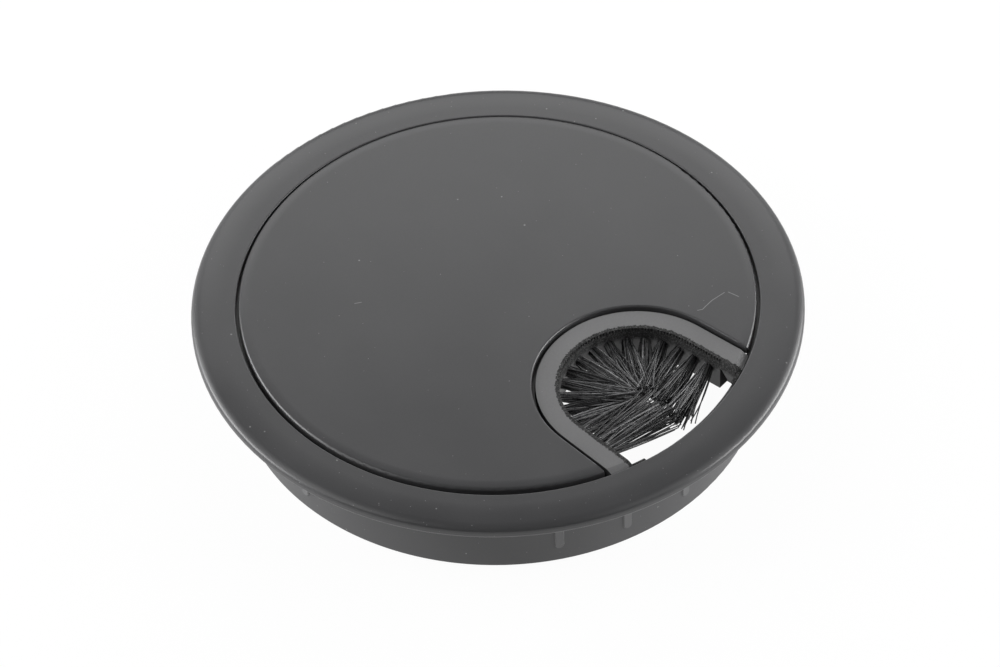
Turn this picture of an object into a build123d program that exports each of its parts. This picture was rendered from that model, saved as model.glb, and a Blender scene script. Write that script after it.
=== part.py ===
from build123d import *
import math
import os

# Round desk cable grommet: a flanged ring for an 80 mm hole, a lid that drops into it,
# and a U-shaped brush strip in the lid's cable outlet.
# Millimetres. The ring's axis is Z, the desk top is the plane Z = 0 under the flange,
# and the cable outlet opens toward -Y.

# Skirt and flange of the ring
skirt_diameter = 79.5
skirt_wall = 1.25
skirt_depth = 13.2
skirt_edge_radius = 0.3
flange_width = 6.25
flange_top = 2.0
crown_width = 4.8
crown_slope = 14.0
shoulder_radius = 1.2
rim_slope = 70.0
rim_edge_radius = 0.25
recess_edge_radius = 0.2
ledge_width = 0.8

# Grip ribs on the skirt
rib_width = 1.2
rib_proud = 0.2
rib_draft = 30.0
rib_length = 10.3
rib_spacing = 15.5
rib_group_count = 4
rib_group_angle = -111.3
ribs_per_group = 3

# Lid, which lies off centre in its recess, close to the far side
lid_thickness = 1.5
lid_proud = 0.2
lid_gap = 0.45
lid_rest_gap = 0.03
lid_rest_angle = 42.0
lid_crown_width = 1.3
lid_crown_slope = 8.0
lid_edge_radius = 0.5
outlet_edge_radius = 0.3
spigot_rest_gap = 0.1
spigot_wall = 1.2
spigot_depth = 2.0

# Cable outlet in the lid: a round end and two legs that run out to the rim
outlet_leg_length = 11.85
outlet_lean = 2.1
outlet_flare = 4.0
outlet_gap = 0.6
pocket_clearance = 0.15
pocket_wall = 1.2
pocket_lip_width = 1.3
pocket_lip_height = 0.8

# Brush strip
strip_inner_radius = 11.5
strip_width = 3.5
strip_height = 6.15
strip_drop = 0.5
strip_end_gap = 0.3
strip_end_chamfer_length = 1.2
strip_end_chamfer_height = 0.5
notch_tuft_gap = 2.2
notch_top_width = 0.3
notch_width = 1.55
notch_height = 4.05
end_block_height = 3.75
toe_length = 2.2
toe_height = 0.55
toe_width = 0.6
groove_pitch = 0.5
groove_depth = 0.15
groove_height = 0.5

# Bristle tufts and the metal anchors that hold them in their holes
tuft_count = 17
tuft_drop = 2.85
tuft_hole_diameter = 1.6
tuft_hole_depth = 2.4
tuft_clearance = 0.05
tuft_flutes = 9
tuft_flute_depth = 0.15
tuft_centre_gap = 1.6
tuft_tip_radius = 0.16
last_tuft_rim_gap = 7.3
last_tuft_lean = 16.0
leg_tuft_centre_gap = 1.9
leg_tuft_tip_radius = 0.7
anchor_bite = 0.2
anchor_thickness = 0.3
anchor_length = 1.1
anchor_fold = 0.3

# Heights and radii that follow
skirt_radius = skirt_diameter / 2
bore_radius = skirt_radius - skirt_wall
recess_radius = bore_radius + ledge_width
flange_radius = skirt_radius + flange_width
lid_top = flange_top + lid_proud
ledge_height = lid_top - lid_thickness
lid_radius = recess_radius - lid_gap
lid_shift = lid_gap - lid_rest_gap
spigot_radius = bore_radius - lid_shift - spigot_rest_gap
strip_outer_radius = strip_inner_radius + strip_width
strip_top = lid_top - strip_drop
strip_bottom = strip_top - strip_height
outlet_radius = strip_outer_radius + outlet_gap
pocket_radius = strip_outer_radius + pocket_clearance
pocket_outer_radius = pocket_radius + pocket_wall
pocket_lip_radius = pocket_radius - pocket_lip_width
leg_reach = 2 * flange_radius
outlet_offset = lid_radius - outlet_leg_length
outlet_plane = Plane((0, -outlet_offset, 0)).rotated((0, 0, -outlet_lean))
half_arc_length = math.radians(90 - outlet_flare) * strip_inner_radius
last_tuft_distance = outlet_leg_length - last_tuft_rim_gap
tuft_pitch = 2 * (half_arc_length + last_tuft_distance) / (tuft_count - 1)
tuft_radius = tuft_hole_diameter / 2 - tuft_clearance
tuft_root = tuft_hole_depth - tuft_clearance
notch_distance = last_tuft_distance + notch_tuft_gap
tongue_radius = recess_radius - strip_end_gap
anchor_width = tuft_hole_diameter + 2 * anchor_bite
anchor_depth = tuft_hole_depth - anchor_fold - anchor_length


def outlet_outline(radius):
    """Plan outline of the outlet at one radius: the round end with its two straight legs."""
    with BuildSketch(outlet_plane) as outline:
        with BuildLine():
            round_end = CenterArc((0, 0), radius, outlet_flare, 180 - 2 * outlet_flare)
            right_leg = PolarLine(round_end @ 0, leg_reach, outlet_flare - 90)
            left_leg = PolarLine(round_end @ 1, leg_reach, -90 - outlet_flare)
            Line(right_leg @ 1, left_leg @ 1)
        make_face()
    return outline.sketch


# Ring: one moulding of flange, recess, ledge and skirt
shoulder_run = shoulder_radius * (
    math.sin(math.radians(rim_slope)) - math.sin(math.radians(crown_slope))
)
crown_radius = (crown_width - shoulder_run) / math.sin(math.radians(crown_slope))
crown_start = flange_radius - crown_width

with BuildPart() as ring:
    with BuildSketch(Plane.XZ):
        with BuildLine():
            top_flat = Line((recess_radius, flange_top), (crown_start, flange_top))
            crown = CenterArc((crown_start, flange_top - crown_radius), crown_radius, 90, -crown_slope)
            shoulder_angle = math.radians(90 - crown_slope)
            shoulder_centre = crown @ 1 - shoulder_radius * Vector(
                math.cos(shoulder_angle), math.sin(shoulder_angle)
            )
            shoulder = CenterArc(
                shoulder_centre, shoulder_radius, 90 - crown_slope, crown_slope - rim_slope
            )
            Polyline(
                shoulder @ 1,
                (flange_radius, 0),
                (skirt_radius, 0),
                (skirt_radius, -skirt_depth),
                (bore_radius, -skirt_depth),
                (bore_radius, ledge_height),
                (recess_radius, ledge_height),
                top_flat @ 0,
            )
        make_face()
    revolve(axis=Axis.Z)
    circles = ring.edges().filter_by(GeomType.CIRCLE)
    rim_edge = circles.group_by(SortBy.RADIUS)[-1].sort_by(Axis.Z)[0]
    fillet(rim_edge, rim_edge_radius)
    recess_edge = ring.faces().sort_by(Axis.Z)[-1].edges().sort_by(SortBy.RADIUS)[0]
    fillet(recess_edge, recess_edge_radius)
    skirt_edges = ring.edges().filter_by(GeomType.CIRCLE).filter_by(
        lambda edge: math.isclose(edge.radius, skirt_radius, abs_tol=1e-6)
    )
    fillet(skirt_edges.sort_by(Axis.Z)[0], skirt_edge_radius)

    rib_planes = []
    for group in range(rib_group_count):
        group_angle = rib_group_angle + group * 360 / rib_group_count
        for rib in range(ribs_per_group):
            angle = group_angle + (rib - (ribs_per_group - 1) / 2) * rib_spacing
            outward = Vector(1, 0, 0).rotate(Axis.Z, angle)
            sideways = Vector(0, 1, 0).rotate(Axis.Z, angle)
            rib_planes.append(Plane(outward * (skirt_radius + rib_proud), sideways, outward))
    with BuildSketch(*rib_planes):
        with Locations((0, ledge_height / 2)):
            Rectangle(
                rib_width,
                ledge_height / 2 + rib_length - rib_width / 2,
                align=(Align.CENTER, Align.MAX),
            )
        with Locations((0, rib_width / 2 - rib_length)):
            Circle(rib_width / 2)
    extrude(amount=-2 * rib_proud, taper=-rib_draft)

ring.part.label = "ring"

# Lid: disc with the outlet cut in it, a spigot that centres it in the ring,
# and a pocket with a lip that carries the brush strip
lid_centre = Vector(lid_shift, 0).rotate(Axis.Z, lid_rest_angle)
lid_slope_sine = math.sin(math.radians(lid_crown_slope))
lid_crown_radius = lid_crown_width / lid_slope_sine
lid_flat_radius = lid_radius - lid_edge_radius * (1 - lid_slope_sine) - lid_crown_width

with BuildPart() as lid:
    with BuildSketch(Plane(lid_centre, x_dir=(1, 0, 0), z_dir=(0, -1, 0))):
        with BuildLine():
            lid_crown = CenterArc(
                (lid_flat_radius, lid_top - lid_crown_radius), lid_crown_radius, 90, -lid_crown_slope
            )
            edge_angle = math.radians(90 - lid_crown_slope)
            edge_centre = lid_crown @ 1 - lid_edge_radius * Vector(
                math.cos(edge_angle), math.sin(edge_angle)
            )
            lid_edge = CenterArc(
                edge_centre, lid_edge_radius, 90 - lid_crown_slope, lid_crown_slope - 90
            )
            Polyline(
                lid_edge @ 1,
                (lid_radius, ledge_height),
                (0, ledge_height),
                (0, lid_top),
                lid_crown @ 0,
            )
        make_face()
    revolve(axis=Axis(lid_centre, (0, 0, 1)))
    with BuildSketch(Plane.XY.offset(ledge_height)):
        add(outlet_outline(outlet_radius))
    extrude(amount=lid_thickness, mode=Mode.SUBTRACT)
    fillet(lid.faces().sort_by(Axis.Z)[-1].edges().filter_by(
        lambda edge: edge.geom_type == GeomType.LINE
        or math.isclose(edge.radius, outlet_radius, abs_tol=1e-6)
    ), outlet_edge_radius)

    with BuildSketch(Plane.XY.offset(ledge_height)):
        with Locations(lid_centre):
            Circle(spigot_radius)
            Circle(spigot_radius - spigot_wall, mode=Mode.SUBTRACT)
        add(outlet_outline(pocket_radius), mode=Mode.SUBTRACT)
    extrude(amount=-spigot_depth)

    with BuildSketch(Plane.XY.offset(ledge_height)):
        add(outlet_outline(pocket_outer_radius))
        add(outlet_outline(pocket_radius), mode=Mode.SUBTRACT)
        with Locations(lid_centre):
            Circle(spigot_radius, mode=Mode.INTERSECT)
    extrude(amount=strip_bottom - ledge_height)

    with BuildSketch(Plane.XY.offset(strip_bottom)):
        add(outlet_outline(pocket_outer_radius))
        add(outlet_outline(pocket_lip_radius), mode=Mode.SUBTRACT)
        with Locations(lid_centre):
            Circle(spigot_radius, mode=Mode.INTERSECT)
    extrude(amount=-pocket_lip_height)

lid.part.label = "lid"

# Places on the inner wall of the strip, counted along it from the middle of the round end,
# first round the arc and then from the end of the arc down each leg


def wall_place(distance):
    """Point on the strip's inner wall, and the way out of the outlet there."""
    side = math.copysign(1, distance)
    leg_distance = max(abs(distance) - half_arc_length, 0)
    turn = (abs(distance) - leg_distance) / strip_inner_radius
    outward = Vector(side * math.sin(turn), math.cos(turn), 0)
    along_leg = Vector(side * outward.Y, -abs(outward.X), 0)
    spot = outward * strip_inner_radius + along_leg * leg_distance
    return outlet_plane.from_local_coords(spot), outward.rotate(Axis.Z, -outlet_lean)


def tuft_plane(step):
    """Plane on the strip's wall at one tuft, facing along its bristles."""
    distance = step * tuft_pitch
    spot, outward = wall_place(distance)
    leg_distance = max(abs(distance) - half_arc_length, 0)
    lean = math.copysign(last_tuft_lean, step) * leg_distance / last_tuft_distance
    return Plane(
        spot + Vector(0, 0, strip_top - tuft_drop),
        x_dir=(0, 0, 1),
        z_dir=(-outward).rotate(Axis.Z, lean),
    )


def groove_plane(step):
    """Level plane at the top of one groove in the strip's inner edge."""
    spot, outward = wall_place(step * groove_pitch)
    return Plane(spot + Vector(0, 0, strip_top), x_dir=outward, z_dir=(0, 0, 1))


tuft_steps = [index - (tuft_count - 1) / 2 for index in range(tuft_count)]
tuft_planes = [tuft_plane(step) for step in tuft_steps]
grooves_a_side = math.floor((half_arc_length + notch_distance) / groove_pitch)
groove_planes = [groove_plane(step) for step in range(-grooves_a_side, grooves_a_side + 1)]

# Brush strip: the U-shaped bar that the tufts are set in
with BuildPart() as brush_strip:
    with BuildSketch(Plane.XY.offset(strip_bottom)):
        add(outlet_outline(strip_outer_radius))
        add(outlet_outline(strip_inner_radius), mode=Mode.SUBTRACT)
        Circle(spigot_radius, mode=Mode.INTERSECT)
    extrude(amount=strip_height)

    with BuildSketch(Plane.XY.offset(ledge_height)):
        add(outlet_outline(strip_outer_radius))
        add(outlet_outline(strip_inner_radius), mode=Mode.SUBTRACT)
        Circle(tongue_radius, mode=Mode.INTERSECT)
    extrude(amount=strip_top - ledge_height)

    top_face = brush_strip.faces().sort_by(Axis.Z)[-1]
    end_edges = top_face.edges().filter_by(GeomType.CIRCLE).filter_by(
        lambda edge: math.isclose(edge.radius, tongue_radius, abs_tol=1e-6)
    )
    chamfer(end_edges, strip_end_chamfer_length, strip_end_chamfer_height, reference=top_face)

    with BuildSketch(Plane.XY.offset(ledge_height)):
        add(outlet_outline(strip_inner_radius + strip_width / 2))
        add(outlet_outline(strip_inner_radius - toe_length), mode=Mode.SUBTRACT)
        Circle(tongue_radius, mode=Mode.INTERSECT)
        Circle(tongue_radius - toe_width, mode=Mode.SUBTRACT)
    extrude(amount=toe_height)

    for side in (-1, 1):
        across = outlet_flare if side > 0 else 180 - outlet_flare
        outward = Vector(1, 0, 0).rotate(Axis.Z, across)
        along_leg = Vector(side * outward.Y, -abs(outward.X), 0)
        leg_plane = Plane(
            outlet_plane.from_local_coords(outward * strip_inner_radius),
            x_dir=along_leg.rotate(Axis.Z, -outlet_lean),
            z_dir=along_leg.cross(Vector(0, 0, 1)).rotate(Axis.Z, -outlet_lean),
        )
        notch_top = strip_bottom + notch_height
        block_bottom = strip_top - end_block_height
        with BuildSketch(leg_plane):
            with BuildLine():
                Polyline(
                    (notch_distance, strip_bottom),
                    (notch_distance, notch_top),
                    (notch_distance + notch_top_width, notch_top),
                    (notch_distance + notch_width, block_bottom),
                    (leg_reach, block_bottom),
                    (leg_reach, strip_bottom),
                    close=True,
                )
            make_face()
        extrude(amount=2 * strip_width, both=True, mode=Mode.SUBTRACT)

    with Locations(*groove_planes):
        Box(
            groove_depth * math.sqrt(2),
            groove_depth * math.sqrt(2),
            groove_height,
            rotation=(0, 0, 45),
            align=(Align.CENTER, Align.CENTER, Align.MAX),
            mode=Mode.SUBTRACT,
        )
    with Locations(*tuft_planes):
        Hole(tuft_hole_diameter / 2, tuft_hole_depth)
    with Locations(*[plane.offset(-anchor_depth) for plane in tuft_planes]):
        Box(
            anchor_width,
            anchor_thickness,
            anchor_length,
            align=(Align.CENTER, Align.CENTER, Align.MAX),
            mode=Mode.SUBTRACT,
        )

brush_strip.part.label = "brush_strip"

os.makedirs("parts", exist_ok=True)
export_step(ring.part, "parts/ring.step")
export_step(lid.part, "parts/lid.step")
export_step(brush_strip.part, "parts/brush_strip.step")

# Tufts and anchors: each tuft is folded round a flat metal anchor at the bottom of its hole


def tuft_section(radius):
    """Fluted section of a bundle of bristles that fits in a circle of one radius."""
    valley_radius = radius * (1 - tuft_flute_depth)
    ridges = [Vector(radius, 0).rotate(Axis.Z, 360 / tuft_flutes * n) for n in range(tuft_flutes)]
    valleys = [
        Vector(valley_radius, 0).rotate(Axis.Z, 360 / tuft_flutes * (n + 0.5))
        for n in range(tuft_flutes)
    ]
    corners = [corner for pair in zip(ridges, valleys) for corner in pair]
    with BuildSketch() as section:
        with BuildLine():
            Polyline(*corners, close=True)
        make_face()
    return section.sketch


for number, (step, plane) in enumerate(zip(tuft_steps, tuft_planes), start=1):
    on_leg = abs(step) * tuft_pitch > half_arc_length
    if on_leg:
        root = outlet_plane.to_local_coords(plane.origin)
        facing = plane.z_dir.rotate(Axis.Z, outlet_lean)
        tip_distance = (abs(root.X) - leg_tuft_centre_gap) / abs(facing.X)
        tip_radius = leg_tuft_tip_radius
    else:
        tip_distance = strip_inner_radius - tuft_centre_gap
        tip_radius = tuft_tip_radius

    with BuildPart() as tuft:
        with BuildSketch(plane.offset(-tuft_root)):
            add(tuft_section(tuft_radius))
        extrude(amount=tuft_root)
        with BuildSketch(plane):
            add(tuft_section(tuft_radius))
        with BuildSketch(plane.offset(tip_distance)):
            add(tuft_section(tip_radius))
        loft(ruled=True)
        with Locations(plane.offset(-anchor_depth)):
            Box(
                anchor_width,
                anchor_thickness,
                anchor_length,
                align=(Align.CENTER, Align.CENTER, Align.MAX),
                mode=Mode.SUBTRACT,
            )
    tuft.part.label = f"tuft_{number:02d}"
    export_step(tuft.part, f"parts/tuft_{number:02d}.step")

    with BuildPart() as anchor:
        with Locations(plane.offset(-anchor_depth)):
            Box(
                anchor_width,
                anchor_thickness,
                anchor_length,
                align=(Align.CENTER, Align.CENTER, Align.MAX),
            )
    anchor.part.label = f"anchor_{number:02d}"
    export_step(anchor.part, f"parts/anchor_{number:02d}.step")
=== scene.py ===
# %% [markdown]
# # A desk cable grommet
# The grommet is a black plastic ring that lines a hole in a desk, a lid that drops into
# the ring, and a strip of bristles round the cable outlet in the lid. The solid parts come
# from CAD and keep their places. Here they get a camera, light, materials and real bristles.

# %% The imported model
import bpy
import math
from mathutils import Matrix, Vector


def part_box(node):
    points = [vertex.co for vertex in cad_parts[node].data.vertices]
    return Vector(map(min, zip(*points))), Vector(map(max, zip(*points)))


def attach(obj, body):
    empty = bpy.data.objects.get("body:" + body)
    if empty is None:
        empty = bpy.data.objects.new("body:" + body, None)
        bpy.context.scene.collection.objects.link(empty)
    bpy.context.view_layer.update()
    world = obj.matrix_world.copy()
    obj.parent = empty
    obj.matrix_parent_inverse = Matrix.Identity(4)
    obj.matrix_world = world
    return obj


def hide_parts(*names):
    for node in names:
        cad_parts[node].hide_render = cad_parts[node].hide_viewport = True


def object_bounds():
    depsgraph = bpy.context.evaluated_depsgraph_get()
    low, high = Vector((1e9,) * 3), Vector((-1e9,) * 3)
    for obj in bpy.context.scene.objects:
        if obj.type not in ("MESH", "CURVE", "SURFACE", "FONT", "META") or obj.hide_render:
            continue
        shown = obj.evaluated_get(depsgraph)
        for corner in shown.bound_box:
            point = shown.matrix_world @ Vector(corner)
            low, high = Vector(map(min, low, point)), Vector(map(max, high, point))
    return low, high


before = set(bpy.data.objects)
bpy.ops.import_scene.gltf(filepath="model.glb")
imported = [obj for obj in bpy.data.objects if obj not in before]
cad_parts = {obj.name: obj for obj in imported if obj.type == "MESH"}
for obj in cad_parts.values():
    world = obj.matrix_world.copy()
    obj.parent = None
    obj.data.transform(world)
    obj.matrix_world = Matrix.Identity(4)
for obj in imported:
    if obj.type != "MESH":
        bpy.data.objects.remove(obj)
cad_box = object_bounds()
MM = 0.001


def in_mm(box):
    """The six numbers of a box's two corners, in mm."""
    return [round(value / MM, 2) for corner in box for value in corner]


print("nodes:", len(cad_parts), "box:", in_mm(cad_box))

# %% [markdown]
# ## Camera
# The picture was taken from about a metre away with a long lens, looking down at 46 degrees,
# and the outlet points to the right of the camera. A small roll and a small shift set the
# ring in the frame as the picture has it.

# %% Camera from the fitted view
CAMERA_DISTANCE = 968.4 * MM
CAMERA_AZIMUTH = math.radians(-48.5)
CAMERA_ELEVATION = math.radians(46.21)
CAMERA_ROLL = math.radians(-1.66)
SENSOR_WIDTH = 36
LENS = 232.4
SHIFT = (0.00212, -0.02445)
CLIP_START = 0.05
CLIP_END = 20


def toward(azimuth, elevation):
    """The way from the grommet to a place round it, by two angles. Azimuth 0 is the -Y side."""
    return Vector((
        math.sin(azimuth) * math.cos(elevation),
        -math.cos(azimuth) * math.cos(elevation),
        math.sin(elevation),
    ))


def add_camera():
    """A camera that looks at the middle of the skirt's upper end."""
    back = toward(CAMERA_AZIMUTH, CAMERA_ELEVATION)
    level = Vector((math.cos(CAMERA_AZIMUTH), math.sin(CAMERA_AZIMUTH), 0))
    upward = back.cross(level)
    right = level * math.cos(CAMERA_ROLL) + upward * math.sin(CAMERA_ROLL)
    above = upward * math.cos(CAMERA_ROLL) - level * math.sin(CAMERA_ROLL)
    turn = Matrix((right, above, back)).transposed().to_4x4()
    camera = bpy.data.objects.new("camera", bpy.data.cameras.new("camera"))
    camera.matrix_world = Matrix.Translation(back * CAMERA_DISTANCE) @ turn
    camera.data.lens = LENS
    camera.data.sensor_width = SENSOR_WIDTH
    camera.data.shift_x, camera.data.shift_y = SHIFT
    camera.data.clip_start = CLIP_START
    camera.data.clip_end = CLIP_END
    bpy.context.scene.collection.objects.link(camera)
    bpy.context.scene.camera = camera
    return camera


camera = add_camera()
print("camera at", [round(v / MM) for v in camera.location], "mm")

# %% [markdown]
# ## Node helpers
# The floor, the materials and the bristles are all made of nodes, so the steps that they
# share come first: feeding a socket, doing sums, making noise and blending by a mask.

# %% Sockets and sums
# The sockets of a Mix node for each kind of value: the base, the top and the result.
MIX_SOCKETS = {"RGBA": (6, 7, 2), "VECTOR": (4, 5, 1)}


def link(tree, start, end):
    """Joins an output socket to an input socket."""
    tree.links.new(start, end)


def feed(tree, socket, value):
    """Gives an input socket a number, a vector or a colour, or joins another socket to it."""
    if isinstance(value, (int, float, tuple)):
        socket.default_value = value
    else:
        link(tree, value, socket)


def calculate(tree, operation, *values):
    """A Math node fed by sockets or numbers, and its result."""
    node = tree.nodes.new("ShaderNodeMath")
    node.operation = operation
    for socket, value in zip(node.inputs, values):
        feed(tree, socket, value)
    return node.outputs[0]


def weighed_sum(tree, first, first_weight, second, second_weight):
    """The sum of two values, each times its own weight."""
    rest = calculate(tree, "MULTIPLY", second, second_weight)
    return calculate(tree, "MULTIPLY_ADD", first, first_weight, rest)


def long_side(tree, first, second):
    """The long side of a right-angled triangle from its two short ones."""
    return calculate(tree, "SQRT", weighed_sum(tree, first, first, second, second))


def other_side(tree, side):
    """The cosine for a sine, or the sine for a cosine."""
    square = calculate(tree, "MULTIPLY", side, side)
    return calculate(tree, "SQRT", calculate(tree, "SUBTRACT", 1.0, square))


def vector_of(tree, *values):
    """A vector from three sockets or numbers."""
    node = tree.nodes.new("ShaderNodeCombineXYZ")
    for socket, value in zip(node.inputs, values):
        feed(tree, socket, value)
    return node.outputs[0]


def parts_of(tree, vector):
    """The three parts of a vector."""
    node = tree.nodes.new("ShaderNodeSeparateXYZ")
    link(tree, vector, node.inputs[0])
    return node.outputs


def vector_maths(tree, operation, first, second):
    """A Vector Math node fed by sockets or vectors, and its outputs."""
    node = tree.nodes.new("ShaderNodeVectorMath")
    node.operation = operation
    feed(tree, node.inputs[0], first)
    feed(tree, node.inputs[1], second)
    return node.outputs


def scaled(tree, vector, amount):
    """A vector times an amount."""
    node = tree.nodes.new("ShaderNodeVectorMath")
    node.operation = "SCALE"
    link(tree, vector, node.inputs[0])
    link(tree, amount, node.inputs["Scale"])
    return node.outputs[0]


# %% Noise, ranges and blends


def noise(tree, place, scale, detail, roughness=0.5):
    """A noise pattern on a place, its scale a number or a socket, and its value."""
    node = tree.nodes.new("ShaderNodeTexNoise")
    node.inputs["Detail"].default_value = detail
    node.inputs["Roughness"].default_value = roughness
    link(tree, place, node.inputs["Vector"])
    feed(tree, node.inputs["Scale"], scale)
    return node.outputs["Fac"]


def remap(tree, value, low, high, new_low=0.0, new_high=1.0, smooth=False):
    """A value moved from one range to another and held inside it."""
    node = tree.nodes.new("ShaderNodeMapRange")
    node.clamp = True
    node.interpolation_type = "SMOOTHSTEP" if smooth else "LINEAR"
    feed(tree, node.inputs["Value"], value)
    ends = {"From Min": low, "From Max": high, "To Min": new_low, "To Max": new_high}
    for label, number in ends.items():
        feed(tree, node.inputs[label], number)
    return node.outputs["Result"]


def blend(tree, kind, amount, base, top):
    """A colour (RGBA) or a vector (VECTOR) that goes from base to top by a mask."""
    mix = tree.nodes.new("ShaderNodeMix")
    mix.data_type = kind
    base_socket, top_socket, result = MIX_SOCKETS[kind]
    link(tree, amount, mix.inputs["Factor"])
    feed(tree, mix.inputs[base_socket], base)
    feed(tree, mix.inputs[top_socket], top)
    return mix.outputs[result]


def blend_value(tree, amount, low, high):
    """A value that goes from low to high by a mask."""
    return calculate(tree, "MULTIPLY_ADD", amount, calculate(tree, "SUBTRACT", high, low), low)


def mix_shaders(tree, amount, first, second, out):
    """Puts out the first shader, and as much of the second as the amount says."""
    mix = tree.nodes.new("ShaderNodeMixShader")
    for socket, value in zip(mix.inputs, (amount, first.outputs[0], second.outputs[0])):
        link(tree, value, socket)
    link(tree, mix.outputs[0], out.inputs["Surface"])


print("mix nodes for:", ", ".join(MIX_SOCKETS))

# %% [markdown]
# ## Floor and light
# The grommet stands on the lower edge of its skirt on a white sheet. The sheet shows white
# to the camera, still takes a soft shadow and sends light up onto the skirt. Wide soft lamps
# stand low to the left, to the right and behind, so black plastic shows long soft bands along
# its edges. Two high lamps nearer the camera light the front of the rim and the lid's edge.

# %% White floor
FLOOR_HEIGHT = cad_box[0][2]
FLOOR_HALF = 3.0
SHEET_COLOR = (0.92, 0.92, 0.92, 1)
# How much of the sheet is plain white to the camera and in reflections, and how much of it
# is plain white as a light on the grommet.
FLOOR_GLOW = 0.96
FLOOR_FILL = 0.9


def floor_material():
    """Pale sheet that the camera sees as nearly white, with the shadow still on it."""
    material = bpy.data.materials.new("white sheet")
    material.use_nodes = True
    tree = material.node_tree
    tree.nodes.clear()
    out = tree.nodes.new("ShaderNodeOutputMaterial")
    sheet = tree.nodes.new("ShaderNodeBsdfDiffuse")
    sheet.inputs["Color"].default_value = SHEET_COLOR
    glow = tree.nodes.new("ShaderNodeEmission")
    glow.inputs["Strength"].default_value = 1.0
    path = tree.nodes.new("ShaderNodeLightPath").outputs
    seen = calculate(tree, "MAXIMUM", path["Is Camera Ray"], path["Is Glossy Ray"])
    fill = calculate(tree, "MULTIPLY", path["Is Diffuse Ray"], FLOOR_FILL)
    share = calculate(tree, "MULTIPLY_ADD", seen, FLOOR_GLOW, fill)
    mix_shaders(tree, share, sheet, glow, out)
    return material


def add_floor():
    """A wide flat sheet under the skirt."""
    mesh = bpy.data.meshes.new("floor")
    corners = [
        (x * FLOOR_HALF, y * FLOOR_HALF, FLOOR_HEIGHT)
        for x, y in ((-1, -1), (1, -1), (1, 1), (-1, 1))
    ]
    mesh.from_pydata(corners, [], [(0, 1, 2, 3)])
    mesh.materials.append(floor_material())
    floor = bpy.data.objects.new("floor", mesh)
    bpy.context.scene.collection.objects.link(floor)


add_floor()
print("floor at", round(FLOOR_HEIGHT / MM, 2), "mm")

# %% Soft lamps and a dim room
# For each lamp: azimuth from the camera's side and elevation in degrees, distance, width and
# height in metres, and power in watts.
LAMPS = {
    "left lamp": (-95, 18, 0.50, 0.40, 0.30, 2.15),
    "right lamp": (95, 18, 0.50, 0.40, 0.30, 1.6),
    "left edge lamp": (-95, 12, 0.25, 0.25, 0.12, 0.33),
    "right edge lamp": (95, 12, 0.25, 0.25, 0.12, 0.50),
    "back left lamp": (-140, 18, 0.50, 0.40, 0.30, 0.25),
    "back right lamp": (140, 18, 0.50, 0.40, 0.30, 0.18),
    "back lamp": (180, 33, 0.25, 0.25, 0.12, 0.19),
    "high left lamp": (-72, 50, 0.50, 0.30, 0.25, 0.42),
    "high right lamp": (72, 50, 0.50, 0.30, 0.25, 0.22),
}
ROOM_LIGHT = 0.1


def add_lamp(name, azimuth, elevation, distance, width, height, power):
    """A soft rectangular lamp aimed at the grommet, placed by angles from the camera's side."""
    away = toward(CAMERA_AZIMUTH + math.radians(azimuth), math.radians(elevation))
    data = bpy.data.lights.new(name, "AREA")
    data.shape = "RECTANGLE"
    data.size, data.size_y = width, height
    data.energy = power
    lamp = bpy.data.objects.new(name, data)
    lamp.location = away * distance
    lamp.rotation_mode = "QUATERNION"
    lamp.rotation_quaternion = away.to_track_quat("Z", "Y")
    lamp.visible_camera = False
    bpy.context.scene.collection.objects.link(lamp)


def white_background(tree, strength):
    """A white background of a given strength."""
    node = tree.nodes.new("ShaderNodeBackground")
    node.inputs["Color"].default_value = (1, 1, 1, 1)
    node.inputs["Strength"].default_value = strength
    return node


def add_room():
    """A white room: plain light on the object, and white where the camera looks past it."""
    world = bpy.data.worlds.new("room")
    world.use_nodes = True
    tree = world.node_tree
    tree.nodes.clear()
    out = tree.nodes.new("ShaderNodeOutputWorld")
    room = white_background(tree, ROOM_LIGHT)
    white = white_background(tree, 1.0)
    seen = tree.nodes.new("ShaderNodeLightPath").outputs["Is Camera Ray"]
    mix_shaders(tree, seen, room, white, out)
    bpy.context.scene.world = world


for name, facts in LAMPS.items():
    add_lamp(name, *facts)
add_room()
bpy.context.scene.view_settings.view_transform = "Standard"
print("lamps:", len(LAMPS))

# %% [markdown]
# ## Shared effects
# All three mouldings are dark plastic from a finely blasted mould: satin, even in tone, with
# a faint orange-peel unevenness. Three effects are shared by materials or used more than
# once: the moulded skin, the dust that settles on it and a fine line such as a hair. Each is
# a shader group with its own inputs.

# %% Helper for shader groups


def new_group(name, inputs, outputs):
    """An empty shader group with its sockets, its inputs' values, and its output node."""
    group = bpy.data.node_groups.new(name, "ShaderNodeTree")
    for label, kind, value in inputs:
        socket = group.interface.new_socket(label, in_out="INPUT", socket_type=kind)
        if value is not None:
            socket.default_value = value
    for label, kind in outputs:
        group.interface.new_socket(label, in_out="OUTPUT", socket_type=kind)
    return group, group.nodes.new("NodeGroupInput").outputs, group.nodes.new("NodeGroupOutput")


# %% Shader group: moulded skin
PEEL_SCALE = 900.0
GRAIN_SHARE = 0.35
GRAIN_RELIEF = 0.5


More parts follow.
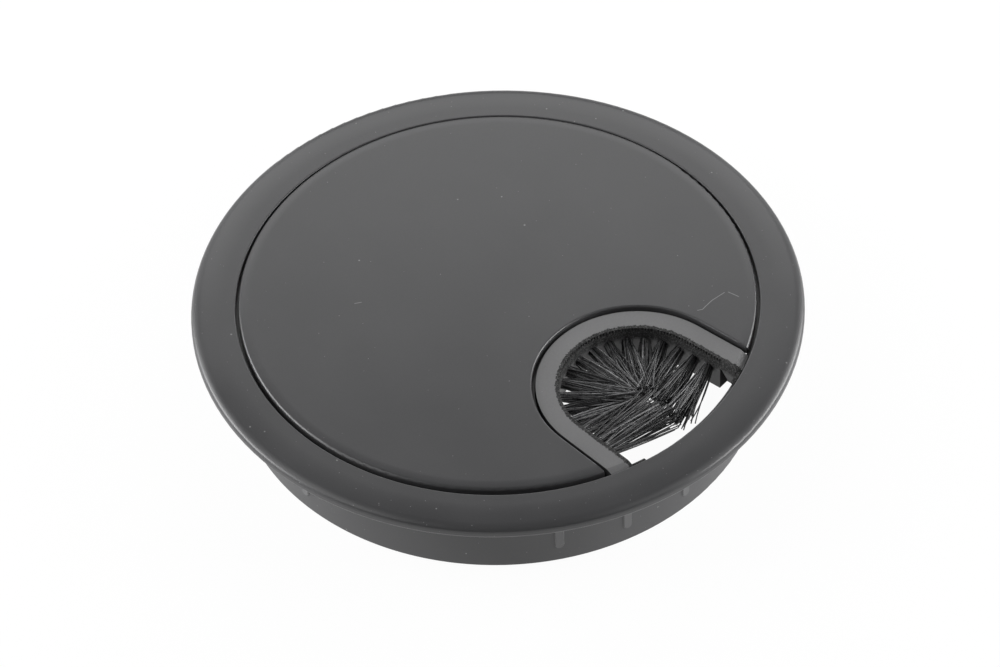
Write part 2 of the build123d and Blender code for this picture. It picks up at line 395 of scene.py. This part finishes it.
def moulded_skin():
    """Blasted plastic skin: tone, gloss and height that change a little over the surface."""
    group, given, out = new_group(
        "moulded skin",
        [
            ("Place", "NodeSocketVector", None),
            ("Dark", "NodeSocketColor", (0.05, 0.05, 0.052, 1)),
            ("Light", "NodeSocketColor", (0.07, 0.07, 0.072, 1)),
            ("Grain Scale", "NodeSocketFloat", 5000.0),
            ("Cloud Scale", "NodeSocketFloat", 60.0),
            ("Gloss", "NodeSocketFloat", 0.45),
            ("Gloss Spread", "NodeSocketFloat", 0.06),
        ],
        [
            ("Color", "NodeSocketColor"),
            ("Roughness", "NodeSocketFloat"),
            ("Height", "NodeSocketFloat"),
        ],
    )
    place = given["Place"]
    grain = noise(group, place, given["Grain Scale"], detail=2.0)
    peel = noise(group, place, PEEL_SCALE, detail=1.0)
    cloud = noise(group, place, given["Cloud Scale"], detail=3.0)
    tone = weighed_sum(group, grain, GRAIN_SHARE, cloud, 1 - GRAIN_SHARE)
    amount = remap(group, tone, 0.3, 0.7)
    color = blend(group, "RGBA", amount, given["Dark"], given["Light"])
    swing = calculate(group, "SUBTRACT", cloud, 0.5)
    rough = calculate(group, "MULTIPLY_ADD", swing, given["Gloss Spread"], given["Gloss"])
    link(group, color, out.inputs["Color"])
    link(group, rough, out.inputs["Roughness"])
    link(group, calculate(group, "MULTIPLY_ADD", grain, GRAIN_RELIEF, peel), out.inputs["Height"])
    return group


SKIN = moulded_skin()
print("group:", SKIN.name)

# %% Shader group: dust
SMALLEST_SPECK = 0.4
LARGEST_SPECK = 1.2
SPECK_CORE = 0.6


def settled_dust():
    """Mask of sparse specks: one in a few cells holds a speck of its own size."""
    group, given, out = new_group(
        "settled dust",
        [
            ("Place", "NodeSocketVector", None),
            ("Cell Scale", "NodeSocketFloat", 300.0),
            ("Speck Size", "NodeSocketFloat", 0.04),
            ("Share", "NodeSocketFloat", 0.2),
        ],
        [("Mask", "NodeSocketFloat")],
    )
    cells = group.nodes.new("ShaderNodeTexVoronoi")
    link(group, given["Place"], cells.inputs["Vector"])
    link(group, given["Cell Scale"], cells.inputs["Scale"])
    luck = group.nodes.new("ShaderNodeSeparateColor")
    link(group, cells.outputs["Color"], luck.inputs[0])
    spread = remap(group, luck.outputs[1], 0, 1, SMALLEST_SPECK, LARGEST_SPECK)
    size = calculate(group, "MULTIPLY", given["Speck Size"], spread)
    near = calculate(group, "DIVIDE", cells.outputs["Distance"], size)
    speck = remap(group, near, SPECK_CORE, 1.0, 1.0, 0.0, smooth=True)
    chosen = calculate(group, "LESS_THAN", luck.outputs[0], given["Share"])
    link(group, calculate(group, "MULTIPLY", speck, chosen), out.inputs["Mask"])
    return group


DUST = settled_dust()
print("group:", DUST.name)

# %% Shader group: a hair or scratch between two points
LINE_CORE = 0.5


def fine_line():
    """Mask of one short line between two points of the surface."""
    group, given, out = new_group(
        "fine line",
        [
            ("Place", "NodeSocketVector", None),
            ("Start", "NodeSocketVector", (0, 0, 0)),
            ("Run", "NodeSocketVector", (MM, 0, 0)),
            ("Half Width", "NodeSocketFloat", 0.06 * MM),
        ],
        [("Mask", "NodeSocketFloat")],
    )
    away = vector_maths(group, "SUBTRACT", given["Place"], given["Start"])[0]
    run = given["Run"]
    reached = vector_maths(group, "DOT_PRODUCT", away, run)["Value"]
    whole = vector_maths(group, "DOT_PRODUCT", run, run)["Value"]
    along = remap(group, calculate(group, "DIVIDE", reached, whole), 0, 1)
    gap = vector_maths(group, "DISTANCE", away, scaled(group, run, along))["Value"]
    near = calculate(group, "DIVIDE", gap, given["Half Width"])
    link(group, remap(group, near, LINE_CORE, 1.0, 1.0, 0.0, smooth=True), out.inputs["Mask"])
    return group


LINE = fine_line()
print("group:", LINE.name)

# %% [markdown]
# ## Moulded plastic
# The ring and the lid differ in tone, form and marks, so one function builds the material
# and each piece gives its own values. Specks of dust sit on top of the skin, pale and matt.
# Both pieces are turned forms, and their shading follows the turned form instead of the
# small flats of the mesh, which would break up the bright line along the rim.

# %% Steps that the materials share


def shader_start(name):
    """A new material with its tree, its shader and the object coordinates."""
    material = bpy.data.materials.new(name)
    material.use_nodes = True
    tree = material.node_tree
    shader = tree.nodes["Principled BSDF"]
    place = tree.nodes.new("ShaderNodeTexCoord").outputs["Object"]
    return material, tree, shader, place


def place_group(tree, group, place, **values):
    """The outputs of a group in a material, with its place and its own values."""
    node = tree.nodes.new("ShaderNodeGroup")
    node.node_tree = group
    link(tree, place, node.inputs["Place"])
    for label, value in values.items():
        node.inputs[label.replace("_", " ")].default_value = value
    return node.outputs


def true_normal(tree):
    """The surface's own normal."""
    return tree.nodes.new("ShaderNodeNewGeometry").outputs["Normal"]


def raise_surface(tree, shader, height, distance, normal=None):
    """Feeds a height to the shader's normal, over another normal where one is given."""
    bump = tree.nodes.new("ShaderNodeBump")
    if normal:
        link(tree, normal, bump.inputs["Normal"])
    bump.inputs["Distance"].default_value = distance
    link(tree, height, bump.inputs["Height"])
    link(tree, bump.outputs[0], shader.inputs["Normal"])


# %% Normal of a turned piece
# The turned normal only counts where it agrees with the surface, given as the cosine between
# the two, and from just inside its first step outward.
AGREEMENT = 0.6
STEP_MARGIN = 0.01 * MM


def turned_normal(tree, place, centre, start, steps, rim=None):
    """The normal of a turned piece. It leans more with each step out, and may round under its rim.

    The lean is given as its sine. Each step has its inner radius, its outer radius and its
    rise. A rim has the height where its top begins and the radius of its lower edge.
    """
    local = vector_maths(tree, "SUBTRACT", place, centre)[0]
    x, y, z = parts_of(tree, local)
    radius = long_side(tree, x, y)
    sine = start
    for inner, outer, rise in steps:
        sine = calculate(tree, "ADD", remap(tree, radius, inner, outer, 0.0, rise), sine)
    cosine = other_side(tree, sine)
    if rim:
        rim_top, edge_radius = rim
        upper = calculate(tree, "GREATER_THAN", z, rim_top)
        rim_cosine = remap(tree, z, 0.0, edge_radius, -1.0, 0.0)
        sine = blend_value(tree, upper, other_side(tree, rim_cosine), sine)
        cosine = blend_value(tree, upper, rim_cosine, cosine)
    lean = calculate(tree, "DIVIDE", sine, radius)
    turned = vector_of(
        tree, calculate(tree, "MULTIPLY", x, lean), calculate(tree, "MULTIPLY", y, lean), cosine
    )
    flat = true_normal(tree)
    likeness = vector_maths(tree, "DOT_PRODUCT", flat, turned)["Value"]
    agrees = calculate(tree, "GREATER_THAN", likeness, AGREEMENT)
    outside = calculate(tree, "GREATER_THAN", radius, steps[0][0] - STEP_MARGIN)
    return blend(tree, "VECTOR", calculate(tree, "MULTIPLY", agrees, outside), flat, turned)


# %% Ribs on the skirt, with painted highlights
SKIRT_RADIUS = 39.77 * MM
RIB_FACE_RADIUS = 39.85 * MM
RIB_RADIUS = 39.94 * MM
RIB_TOP = -0.05 * MM
RIB_FACE_HIGHLIGHT = (0.1, 0.1, 0.102, 1)
RIB_EDGE_HIGHLIGHT = (0.2, 0.2, 0.204, 1)


def painted_rib_highlights(tree, place, color):
    """The skin's colour with painted highlights: paler on the ribs and palest on their edges."""
    x, y, z = parts_of(tree, place)
    radius = long_side(tree, x, y)
    below = calculate(tree, "LESS_THAN", z, RIB_TOP)
    proud = remap(tree, radius, SKIRT_RADIUS, RIB_FACE_RADIUS)
    face = calculate(tree, "MULTIPLY", proud, below)
    low = remap(tree, radius, RIB_FACE_RADIUS, RIB_RADIUS, 1.0, 0.0)
    edge = calculate(tree, "MULTIPLY", face, low)
    # Painted highlight: the rib faces and their edges are made paler, as where light catches them.
    pale = blend(tree, "RGBA", face, color, RIB_FACE_HIGHLIGHT)
    return blend(tree, "RGBA", edge, pale, RIB_EDGE_HIGHLIGHT)


# %% Recipe for the ring and the lid
PLASTIC_IOR = 1.5
# The cell scale and speck size of fine and of coarse dust.
SPECKS = ((1300.0, 0.1), (420.0, 0.07))
DUST_COLOR = (0.35, 0.35, 0.35, 1)
DUST_COVER = 0.55
DUST_ROUGHNESS = 0.3
HAIR_HALF_WIDTH = 0.07 * MM


def surface_marks(tree, place, speck_share, hairs):
    """Mask of dust and hairs."""
    masks = [
        place_group(tree, DUST, place, Cell_Scale=cells, Speck_Size=size, Share=speck_share)[0]
        for cells, size in SPECKS
    ]
    for start, end in hairs:
        run = tuple(b - a for a, b in zip(start, end))
        hair = place_group(tree, LINE, place, Start=start, Run=run, Half_Width=HAIR_HALF_WIDTH)
        masks.append(hair[0])
    marks = masks[0]
    for mask in masks[1:]:
        marks = calculate(tree, "MAXIMUM", marks, mask)
    return marks


def plastic(
    name, dark, light, gloss, grain_scale, grain_height, speck_share, turned, hairs=(), ribs=False
):
    """Moulded plastic with dust on a turned form, and hairs and painted rib highlights where
    given.
    """
    material, tree, shader, place = shader_start(name)
    shader.inputs["IOR"].default_value = PLASTIC_IOR
    skin = place_group(
        tree, SKIN, place, Dark=dark, Light=light, Gloss=gloss, Grain_Scale=grain_scale
    )
    marks = surface_marks(tree, place, speck_share, hairs)
    base = painted_rib_highlights(tree, place, skin["Color"]) if ribs else skin["Color"]
    cover = calculate(tree, "MULTIPLY", marks, DUST_COVER)
    link(tree, blend(tree, "RGBA", cover, base, DUST_COLOR), shader.inputs["Base Color"])
    rough = calculate(tree, "MULTIPLY_ADD", marks, DUST_ROUGHNESS, skin["Roughness"])
    link(tree, rough, shader.inputs["Roughness"])
    normal = turned_normal(tree, place, **turned)
    raise_surface(tree, shader, skin["Height"], grain_height, normal)
    return material


# %% Ring, with a turned rim
RING_TURNED = {
    "centre": (0, 0, 0),
    "start": -1.0,
    "steps": [
        (39.3 * MM, 39.52 * MM, 1.0),
        (41.2 * MM, 44.5 * MM, 0.15),
        (44.5 * MM, 45.6 * MM, 0.4),
        (45.6 * MM, 45.9 * MM, 0.43),
    ],
    "rim": (0.8 * MM, 0.4 * MM),
}
RING_PLASTIC = plastic(
    "ring plastic",
    dark=(0.046, 0.046, 0.048, 1),
    light=(0.058, 0.058, 0.06, 1),
    gloss=0.34,
    grain_scale=5200.0,
    grain_height=0.004 * MM,
    speck_share=0.4,
    turned=RING_TURNED,
    ribs=True,
)
print("material:", RING_PLASTIC.name)

# %% Lid, which lies a little off the ring's centre
# A hair lies near the right leg of the outlet, and a short mark far left.
LID_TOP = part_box("lid")[1][2]
LID_TURNED = {
    "centre": (0.312 * MM, 0.281 * MM, 0),
    "start": 0.0,
    "steps": [(37.1 * MM, 38.4 * MM, 0.16), (38.4 * MM, 38.83 * MM, 0.84)],
}
HAIR_POINTS = [
    (17.08, -24.69), (17.72, -25.14), (18.49, -25.09), (20.07, -25.06), (22.5, -25.47)
]
OTHER_MARKS = [((22.94, -25.88), (23.19, -27.66)), ((-14.25, 15.97), (-13.44, 15.37))]


def on_lid(point):
    """A point on the lid's top face, in metres."""
    return (point[0] * MM, point[1] * MM, LID_TOP)


LID_MARKS = [
    (on_lid(a), on_lid(b)) for a, b in [*zip(HAIR_POINTS, HAIR_POINTS[1:]), *OTHER_MARKS]
]
LID_PLASTIC = plastic(
    "lid plastic",
    dark=(0.048, 0.048, 0.05, 1),
    light=(0.059, 0.059, 0.061, 1),
    gloss=0.34,
    grain_scale=5200.0,
    grain_height=0.003 * MM,
    speck_share=0.12,
    turned=LID_TURNED,
    hairs=LID_MARKS,
)
print("material:", LID_PLASTIC.name, "marks:", len(LID_MARKS))

# %% [markdown]
# ## Brush strip
# The strip is paler than the ring, pitted on top, and torn and grainy along the edge above
# the bristles. Its inner wall runs at one distance from the outlet's middle: round a centre
# at its far end, and straight along the legs, which close in a little.

# %% Distance from the outlet's middle
OUTLET_CENTRE = (0, -27.0 * MM, 0)
OUTLET_LEAN = math.radians(2.1)
LEG_LEAN = math.radians(4)


def outlet_distance(tree, place):
    """Distance in mm from the outlet's middle, the same all along the strip's inner wall."""
    turn = tree.nodes.new("ShaderNodeVectorRotate")
    turn.rotation_type = "Z_AXIS"
    turn.inputs["Angle"].default_value = OUTLET_LEAN
    local = vector_maths(tree, "SUBTRACT", place, OUTLET_CENTRE)[0]
    link(tree, local, turn.inputs["Vector"])
    x, y, _ = parts_of(tree, turn.outputs[0])
    side = calculate(tree, "ABSOLUTE", x)
    cosine, sine = math.cos(LEG_LEAN) / MM, math.sin(LEG_LEAN) / MM
    across = weighed_sum(tree, side, cosine, y, sine)
    along = weighed_sum(tree, side, -sine, y, cosine)
    beyond = calculate(tree, "MAXIMUM", along, 0.0)
    return long_side(tree, across, beyond)


# %% Torn edge, with sizes in mm
STRIP_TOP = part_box("brush_strip")[1][2]
STRIP_INNER = 11.5
TORN_REACH = 0.55
TORN_DROP = 2.2
TORN_FADE = 0.8
TORN_SOFTNESS = 0.08
TEETH_SCALE = 2400.0
TEETH_LENGTH = 0.9


def torn_edge(tree, place, grain):
    """Mask of the torn band: a ragged line on the top, and down the wall to where it fades."""
    teeth = noise(tree, place, TEETH_SCALE, detail=3.0, roughness=0.6)
    ragged = calculate(tree, "MULTIPLY_ADD", teeth, -TEETH_LENGTH, outlet_distance(tree, place))
    top_line = STRIP_INNER + TORN_REACH - TEETH_LENGTH / 2
    on_top = remap(tree, ragged, top_line, top_line + TORN_SOFTNESS, 1.0, 0.0)
    below = calculate(tree, "SUBTRACT", STRIP_TOP, parts_of(tree, place)["Z"])
    drop = calculate(tree, "MULTIPLY", below, 1 / MM)
    uneven = calculate(tree, "MULTIPLY_ADD", grain, TORN_FADE, drop)
    fade = remap(tree, uneven, TORN_DROP, TORN_DROP + TORN_FADE, 1.0, 0.0)
    return calculate(tree, "MULTIPLY", on_top, fade)


# %% Strip material, with heights in mm
STRIP_DARK = (0.125, 0.125, 0.127, 1)
STRIP_LIGHT = (0.158, 0.158, 0.16, 1)
WALL_COLOR = (0.055, 0.055, 0.056, 1)
TORN_COLOR = (0.06, 0.06, 0.06, 1)
HOLLOW_SHADE_COLOR = (0.006, 0.006, 0.006, 1)
PIT_SHADE_COLOR = (0.012, 0.012, 0.012, 1)
PIT_SHADE_COVER = 0.85
STRIP_DUST_COVER = 0.5
TORN_ROUGHNESS = 0.3
TORN_DEPTH = 0.12
PIT_DEPTH = 0.08
SKIN_DEPTH = 0.012


def strip_plastic():
    """Strip moulding: skin, pits and specks, and a torn band along its inner edge, with painted
    shade in the pits and in the torn band's hollows.
    """
    material, tree, shader, place = shader_start("strip plastic")
    skin = place_group(
        tree, SKIN, place, Dark=STRIP_DARK, Light=STRIP_LIGHT, Gloss=0.5, Grain_Scale=3000.0
    )
    upright = calculate(tree, "ABSOLUTE", parts_of(tree, true_normal(tree))["Z"])
    wall = remap(tree, upright, 0.4, 0.7, 1.0, 0.0, smooth=True)
    grain = noise(tree, place, 4300.0, detail=4.0, roughness=0.65)
    torn = torn_edge(tree, place, grain)
    # Painted shade: the low parts of the torn grain are made near black.
    hollow_shade = calculate(tree, "MULTIPLY", remap(tree, grain, 0.5, 0.6, 1.0, 0.0), torn)
    pits = place_group(tree, DUST, place, Cell_Scale=480.0, Speck_Size=0.1, Share=0.4)[0]
    dust = place_group(tree, DUST, place, Cell_Scale=900.0, Speck_Size=0.07, Share=0.3)[0]
    color = skin["Color"]
    # The pit and hollow layers below are painted shade.
    for mask, layer_color in (
        (wall, WALL_COLOR),
        (torn, TORN_COLOR),
        (hollow_shade, HOLLOW_SHADE_COLOR),
        (calculate(tree, "MULTIPLY", pits, PIT_SHADE_COVER), PIT_SHADE_COLOR),
        (calculate(tree, "MULTIPLY", dust, STRIP_DUST_COVER), DUST_COLOR),
    ):
        color = blend(tree, "RGBA", mask, color, layer_color)
    link(tree, color, shader.inputs["Base Color"])
    rough = calculate(tree, "MULTIPLY_ADD", torn, TORN_ROUGHNESS, skin["Roughness"])
    link(tree, rough, shader.inputs["Roughness"])
    relief = calculate(tree, "MULTIPLY", skin["Height"], SKIN_DEPTH)
    torn_grain = calculate(tree, "MULTIPLY", grain, torn)
    relief = calculate(tree, "MULTIPLY_ADD", torn_grain, TORN_DEPTH, relief)
    relief = calculate(tree, "MULTIPLY_ADD", pits, -PIT_DEPTH, relief)
    raise_surface(tree, shader, relief, MM)
    return material


STRIP_PLASTIC = strip_plastic()
print("material:", STRIP_PLASTIC.name)

# %% Anchors: flat brass wire, drawn lengthwise
DRAWN_SCALE = (9000, 9000, 600)
BRASS_DARK = (0.5, 0.36, 0.14, 1)
BRASS_LIGHT = (0.68, 0.52, 0.24, 1)


def drawn_brass():
    """Bright brass with fine drawing lines along the wire."""
    material, tree, shader, place = shader_start("drawn brass")
    shader.inputs["Metallic"].default_value = 1.0
    stretch = tree.nodes.new("ShaderNodeMapping")
    stretch.inputs["Scale"].default_value = DRAWN_SCALE
    link(tree, place, stretch.inputs["Vector"])
    lines = noise(tree, stretch.outputs[0], 1.0, detail=2.0)
    color = blend(tree, "RGBA", lines, BRASS_DARK, BRASS_LIGHT)
    link(tree, color, shader.inputs["Base Color"])
    link(tree, remap(tree, lines, 0.3, 0.7, 0.25, 0.4), shader.inputs["Roughness"])
    raise_surface(tree, shader, lines, 0.002 * MM)
    return material


BRASS = drawn_brass()
print("material:", BRASS.name)

# %% Materials on the CAD nodes
COATS = {"ring": RING_PLASTIC, "lid": LID_PLASTIC, "brush_strip": STRIP_PLASTIC}
COATS.update((name, BRASS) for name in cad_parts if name.startswith("anchor_"))


def dress(node, material):
    """Gives a CAD node its material."""
    mesh_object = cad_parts[node]
    if not mesh_object.material_slots:
        mesh_object.data.materials.append(material)
    for material_slot in mesh_object.material_slots:
        material_slot.material = material


for name, material in COATS.items():
    dress(name, material)
print("dressed:", len(COATS))

# %% [markdown]
# ## Bristles
# Each tuft is a bundle of stiff black filaments, folded in half and driven into its hole, so
# it is tight at the wall and opens a little on the way to the middle of the outlet. The
# bristles follow one rule and only their length, bend and place in the bundle differ, so
# Geometry Nodes make them: one tree, used once for each tuft with its own numbers.

# %% Where the tufts stand
# Each tuft is folded round its anchor, and its solid ends where its bristles do.
ANCHOR_DEPTH = 1.55 * MM
TIP_DEPTH = 1.0 * MM


def world_points(node):
    """The points of a CAD node in place."""
    mesh_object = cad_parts[node]
    return [mesh_object.matrix_world @ vertex.co for vertex in mesh_object.data.vertices]


def middle(points):
    """The mean of some points."""
    return sum(points, Vector()) / len(points)


def tuft_line(number):
    """Where a tuft leaves its hole and the way it points."""
    fold = middle(world_points(f"anchor_{number:02d}"))
    points = world_points(f"tuft_{number:02d}")
    reach = max((point - fold).length for point in points)
    tip = middle([point for point in points if (point - fold).length > reach - TIP_DEPTH])
    facing = (tip - fold).normalized()
    return fold + facing * ANCHOR_DEPTH, facing


TUFTS = sorted(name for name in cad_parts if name.startswith("tuft_"))
tuft_lines = [tuft_line(number) for number in range(1, len(TUFTS) + 1)]
for root, facing in (tuft_lines[0], tuft_lines[8], tuft_lines[-1]):
    print("tuft at", [round(v / MM, 2) for v in root], "faces", [round(v, 2) for v in facing])

# %% Geometry Nodes tree: one bundle of bristles
BUNDLE_INPUTS = [
    ("Bristles", "NodeSocketInt", 70),
    ("Length", "NodeSocketFloat", 11.0 * MM),
    ("Length Spread", "NodeSocketFloat", 1.2 * MM),
    ("Root Radius", "NodeSocketFloat", 0.72 * MM),
    ("Tip Shift", "NodeSocketFloat", 0.0),
    ("Tip Drop", "NodeSocketFloat", 0.8 * MM),
    ("Tip Width", "NodeSocketFloat", 1.6 * MM),
    ("Tip Height", "NodeSocketFloat", 1.1 * MM),
    ("Bend", "NodeSocketFloat", 0.8 * MM),
    ("Curl", "NodeSocketFloat", 0.12 * MM),
    ("Filament Radius", "NodeSocketFloat", 0.1 * MM),
    ("Seed", "NodeSocketInt", 1),
    ("Finish", "NodeSocketMaterial", None),
]
SEED_STEP = 31
# How much of its place in the hole a bristle keeps at its tip, upward and across.
KEPT_UP = 0.6
KEPT_ACROSS = 0.5
TONE_POWER = 2.0
CURL_POWER = 4.0
BRISTLE_POINTS = 9
BRISTLE_SIDES = 6


def tree_input(tree, label):
    """The identifier of a tree's input, by which a modifier is set."""
    return next(
        item.identifier
        for item in tree.interface.items_tree
        if item.item_type == "SOCKET" and item.name == label
    )


def bundle_tree():
    """Bristles along local Z: points in a disc, a bent line on each, swept with a small ring."""
    tree = bpy.data.node_groups.new("bristle bundle", "GeometryNodeTree")
    for label, kind, value in BUNDLE_INPUTS:
        socket = tree.interface.new_socket(label, in_out="INPUT", socket_type=kind)
        if value is not None:
            socket.default_value = value
    tree.interface.new_socket("Geometry", in_out="OUTPUT", socket_type="NodeSocketGeometry")
    given = tree.nodes.new("NodeGroupInput").outputs
    out = tree.nodes.new("NodeGroupOutput")

    def add(kind, **settings):
        """A node with its settings."""
        node = tree.nodes.new(kind)
        for label, value in settings.items():
            setattr(node, label, value)
        return node

    def maths(operation, *values):
        """The result of a sum in this tree."""
        return calculate(tree, operation, *values)

    def number(low, high, salt):
        """A random number for each bristle between two values, with its own salt."""
        node = add("FunctionNodeRandomValue", data_type="FLOAT")
        feed(tree, node.inputs[2], low)
        feed(tree, node.inputs[3], high)
        link(tree, maths("MULTIPLY_ADD", given["Seed"], SEED_STEP, salt), node.inputs["Seed"])
        return node.outputs[1]

    def stray(salt):
        """A random number from -1 to 1 that is small for most bristles and large for a few."""
        value = number(-1.0, 1.0, salt)
        return maths("MULTIPLY", value, maths("ABSOLUTE", value))

    def keep(geometry, value, label, kind):
        """Stores a value on each bristle's root so that it reaches the bristle's points."""
        node = add("GeometryNodeStoreNamedAttribute", data_type=kind, domain="POINT")
        node.inputs["Name"].default_value = label
        link(tree, geometry, node.inputs["Geometry"])
        link(tree, value, node.inputs["Value"])
        return node.outputs[0]

    def recall(label):
        """A vector that was stored on the bristle."""
        node = add("GeometryNodeInputNamedAttribute", data_type="FLOAT_VECTOR")
        node.inputs["Name"].default_value = label
        return node.outputs[0]

    roots = add("GeometryNodePoints")
    link(tree, given["Bristles"], roots.inputs["Count"])
    angle = number(0.0, math.tau, 1)
    reach = maths("SQRT", number(0.0, 1.0, 2))
    across = maths("MULTIPLY", maths("COSINE", angle), reach)
    upward = maths("MULTIPLY", maths("SINE", angle), reach)
    root = vector_of(
        tree,
        maths("MULTIPLY", upward, given["Root Radius"]),
        maths("MULTIPLY", across, given["Root Radius"]),
        0,
    )
    tip_up = maths("MULTIPLY_ADD", upward, KEPT_UP, stray(3))
    tip_across = maths("MULTIPLY_ADD", across, KEPT_ACROSS, stray(4))
    shorter = maths("MULTIPLY", number(0.0, 1.0, 5), given["Length Spread"])
    tip = vector_of(
        tree,
        maths("SUBTRACT", maths("MULTIPLY", tip_up, given["Tip Height"]), given["Tip Drop"]),
        maths("MULTIPLY_ADD", tip_across, given["Tip Width"], given["Tip Shift"]),
        maths("SUBTRACT", given["Length"], shorter),
    )
    bow = vector_of(
        tree,
        maths("MULTIPLY", number(-0.5, 0.5, 6), given["Bend"]),
        maths("MULTIPLY", number(-0.5, 0.5, 7), given["Bend"]),
        0,
    )
    curl = vector_of(
        tree,
        maths("MULTIPLY", stray(8), given["Curl"]),
        maths("MULTIPLY", stray(9), given["Curl"]),
        0,
    )
    # Each bristle's tone sets how much painted highlight its colour gets.
    tone = maths("POWER", number(0.0, 1.0, 10), TONE_POWER)
    geometry = keep(roots.outputs[0], tone, "tone", "FLOAT")
    for label, value in (("root", root), ("tip", tip), ("bow", bow), ("curl", curl)):
        geometry = keep(geometry, value, label, "FLOAT_VECTOR")
    line = add("GeometryNodeCurvePrimitiveLine")
    line.inputs["End"].default_value = (0, 0, 1)
    pieces = add("GeometryNodeResampleCurve")
    pieces.inputs["Count"].default_value = BRISTLE_POINTS
    link(tree, line.outputs[0], pieces.inputs["Curve"])
    copies = add("GeometryNodeInstanceOnPoints")
    link(tree, geometry, copies.inputs["Points"])
    link(tree, pieces.outputs[0], copies.inputs["Instance"])
    single = add("GeometryNodeRealizeInstances")
    link(tree, copies.outputs[0], single.inputs[0])

    along = add("GeometryNodeSplineParameter").outputs["Factor"]
    straight = blend(tree, "VECTOR", along, recall("root"), recall("tip"))
    belly = maths("SINE", maths("MULTIPLY", along, math.pi))
    bowed = scaled(tree, recall("bow"), belly)
    curled = scaled(tree, recall("curl"), maths("POWER", along, CURL_POWER))
    strays = vector_maths(tree, "ADD", bowed, curled)[0]
    bent = add("GeometryNodeSetPosition")
    link(tree, single.outputs[0], bent.inputs["Geometry"])
    link(tree, vector_maths(tree, "ADD", straight, strays)[0], bent.inputs["Position"])

    ring = add("GeometryNodeCurvePrimitiveCircle")
    ring.inputs["Resolution"].default_value = BRISTLE_SIDES
    link(tree, given["Filament Radius"], ring.inputs["Radius"])
    sweep = add("GeometryNodeCurveToMesh")
    sweep.inputs["Fill Caps"].default_value = True
    link(tree, bent.outputs[0], sweep.inputs["Curve"])
    link(tree, ring.outputs[0], sweep.inputs["Profile Curve"])
    real = add("GeometryNodeRealizeInstances")
    link(tree, sweep.outputs[0], real.inputs[0])
    finish = add("GeometryNodeSetMaterial")
    link(tree, real.outputs[0], finish.inputs["Geometry"])
    link(tree, given["Finish"], finish.inputs["Material"])
    link(tree, finish.outputs[0], out.inputs["Geometry"])
    return tree


BUNDLE = bundle_tree()
print("tree:", BUNDLE.name, "inputs:", len(BUNDLE_INPUTS))

# %% Bristle material
FILAMENT_IOR = 1.53
FILAMENT_BLACK = (0.02, 0.02, 0.021, 1)
FILAMENT_HIGHLIGHT_COLOR = (0.3, 0.3, 0.305, 1)


def filament():
    """Black nylon filament: glossy, a little uneven along its length, and on some bristles paler
    as a painted highlight.
    """
    material, tree, shader, place = shader_start("black filament")
    shader.inputs["IOR"].default_value = FILAMENT_IOR
    streak = noise(tree, place, 1400.0, detail=2.0)
    tone = tree.nodes.new("ShaderNodeAttribute")
    tone.attribute_name = "tone"
    # Painted highlight: the paler colour stands for light along the bristles, more on bristles
    # with a high tone.
    highlight_spread = remap(tree, streak, 0.3, 0.7, 0.6, 1.0)
    highlight_share = calculate(tree, "MULTIPLY", tone.outputs["Fac"], highlight_spread)
    color = blend(tree, "RGBA", highlight_share, FILAMENT_BLACK, FILAMENT_HIGHLIGHT_COLOR)
    link(tree, color, shader.inputs["Base Color"])
    link(tree, remap(tree, streak, 0.3, 0.7, 0.22, 0.38), shader.inputs["Roughness"])
    raise_surface(tree, shader, streak, 0.004 * MM)
    return material


FILAMENT = filament()
print("material:", FILAMENT.name)

# %% One bundle for each tuft
# The tufts round the bend point at one knot, a little off the middle. The two tufts on each
# leg lean toward the open end and fan out, and their tips cross.
KNOT = Vector((0.9, -27.4, -1.2)) * MM
KNOT_RADIUS = 0.5 * MM
HOLE_INSET = 0.9 * MM
# Each leg tuft by its number: where its tips go, and how wide they fan out.
LEG_TUFTS = {
    1: (Vector((2.0, -32.6, -1.2)) * MM, 2.6 * MM),
    2: (Vector((2.0, -29.8, -1.2)) * MM, 2.4 * MM),
    16: (Vector((1.0, -30.2, -1.2)) * MM, 1.8 * MM),
    17: (Vector((0.3, -34.3, -1.2)) * MM, 1.8 * MM),
}
LEG_VALUES = {
    "Bristles": 100,
    "Length Spread": 2.6 * MM,
    "Tip Height": 1.5 * MM,
    "Curl": 0.5 * MM,
}


def bundle_values(number, root, facing, side):
    """The tree's inputs for one tuft: where its tips go and how loose it is."""
    if number in LEG_TUFTS:
        tips, width = LEG_TUFTS[number]
        aim = tips - root
        return {
            **LEG_VALUES,
            "Length": aim.dot(facing) + HOLE_INSET,
            "Tip Shift": aim.dot(side),
            "Tip Width": width,
        }
    aim = KNOT - root
    return {
        "Length": aim.dot(facing) - KNOT_RADIUS + HOLE_INSET,
        "Tip Shift": aim.dot(side),
    }


def bundle(number, root, facing):
    """Bristles of one tuft as a plain mesh in place, standing for the tuft's solid."""
    mesh_object = bpy.data.objects.new(f"bristles_{number:02d}", bpy.data.meshes.new("bristles"))
    bpy.context.scene.collection.objects.link(mesh_object)
    modifier = mesh_object.modifiers.new("bundle", "NODES")
    modifier.node_group = BUNDLE
    upright = Vector((0, 0, 1))
    side = facing.cross(upright)
    values = {"Seed": number, "Finish": FILAMENT, **bundle_values(number, root, facing, side)}
    for label, value in values.items():
        modifier[tree_input(BUNDLE, label)] = value
    graph = bpy.context.evaluated_depsgraph_get()
    mesh = bpy.data.meshes.new_from_object(mesh_object.evaluated_get(graph))
    mesh_object.modifiers.clear()
    mesh_object.data = mesh
    turn = Matrix((upright, side, facing)).transposed().to_4x4()
    mesh.transform(Matrix.Translation(root - facing * HOLE_INSET) @ turn)
    for polygon in mesh.polygons:
        polygon.use_smooth = True
    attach(mesh_object, "root")
    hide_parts(f"tuft_{number:02d}")
    return mesh_object


bundles = [bundle(number, *line) for number, line in enumerate(tuft_lines, start=1)]
print("bundles:", len(bundles), "faces:", sum(len(o.data.polygons) for o in bundles))
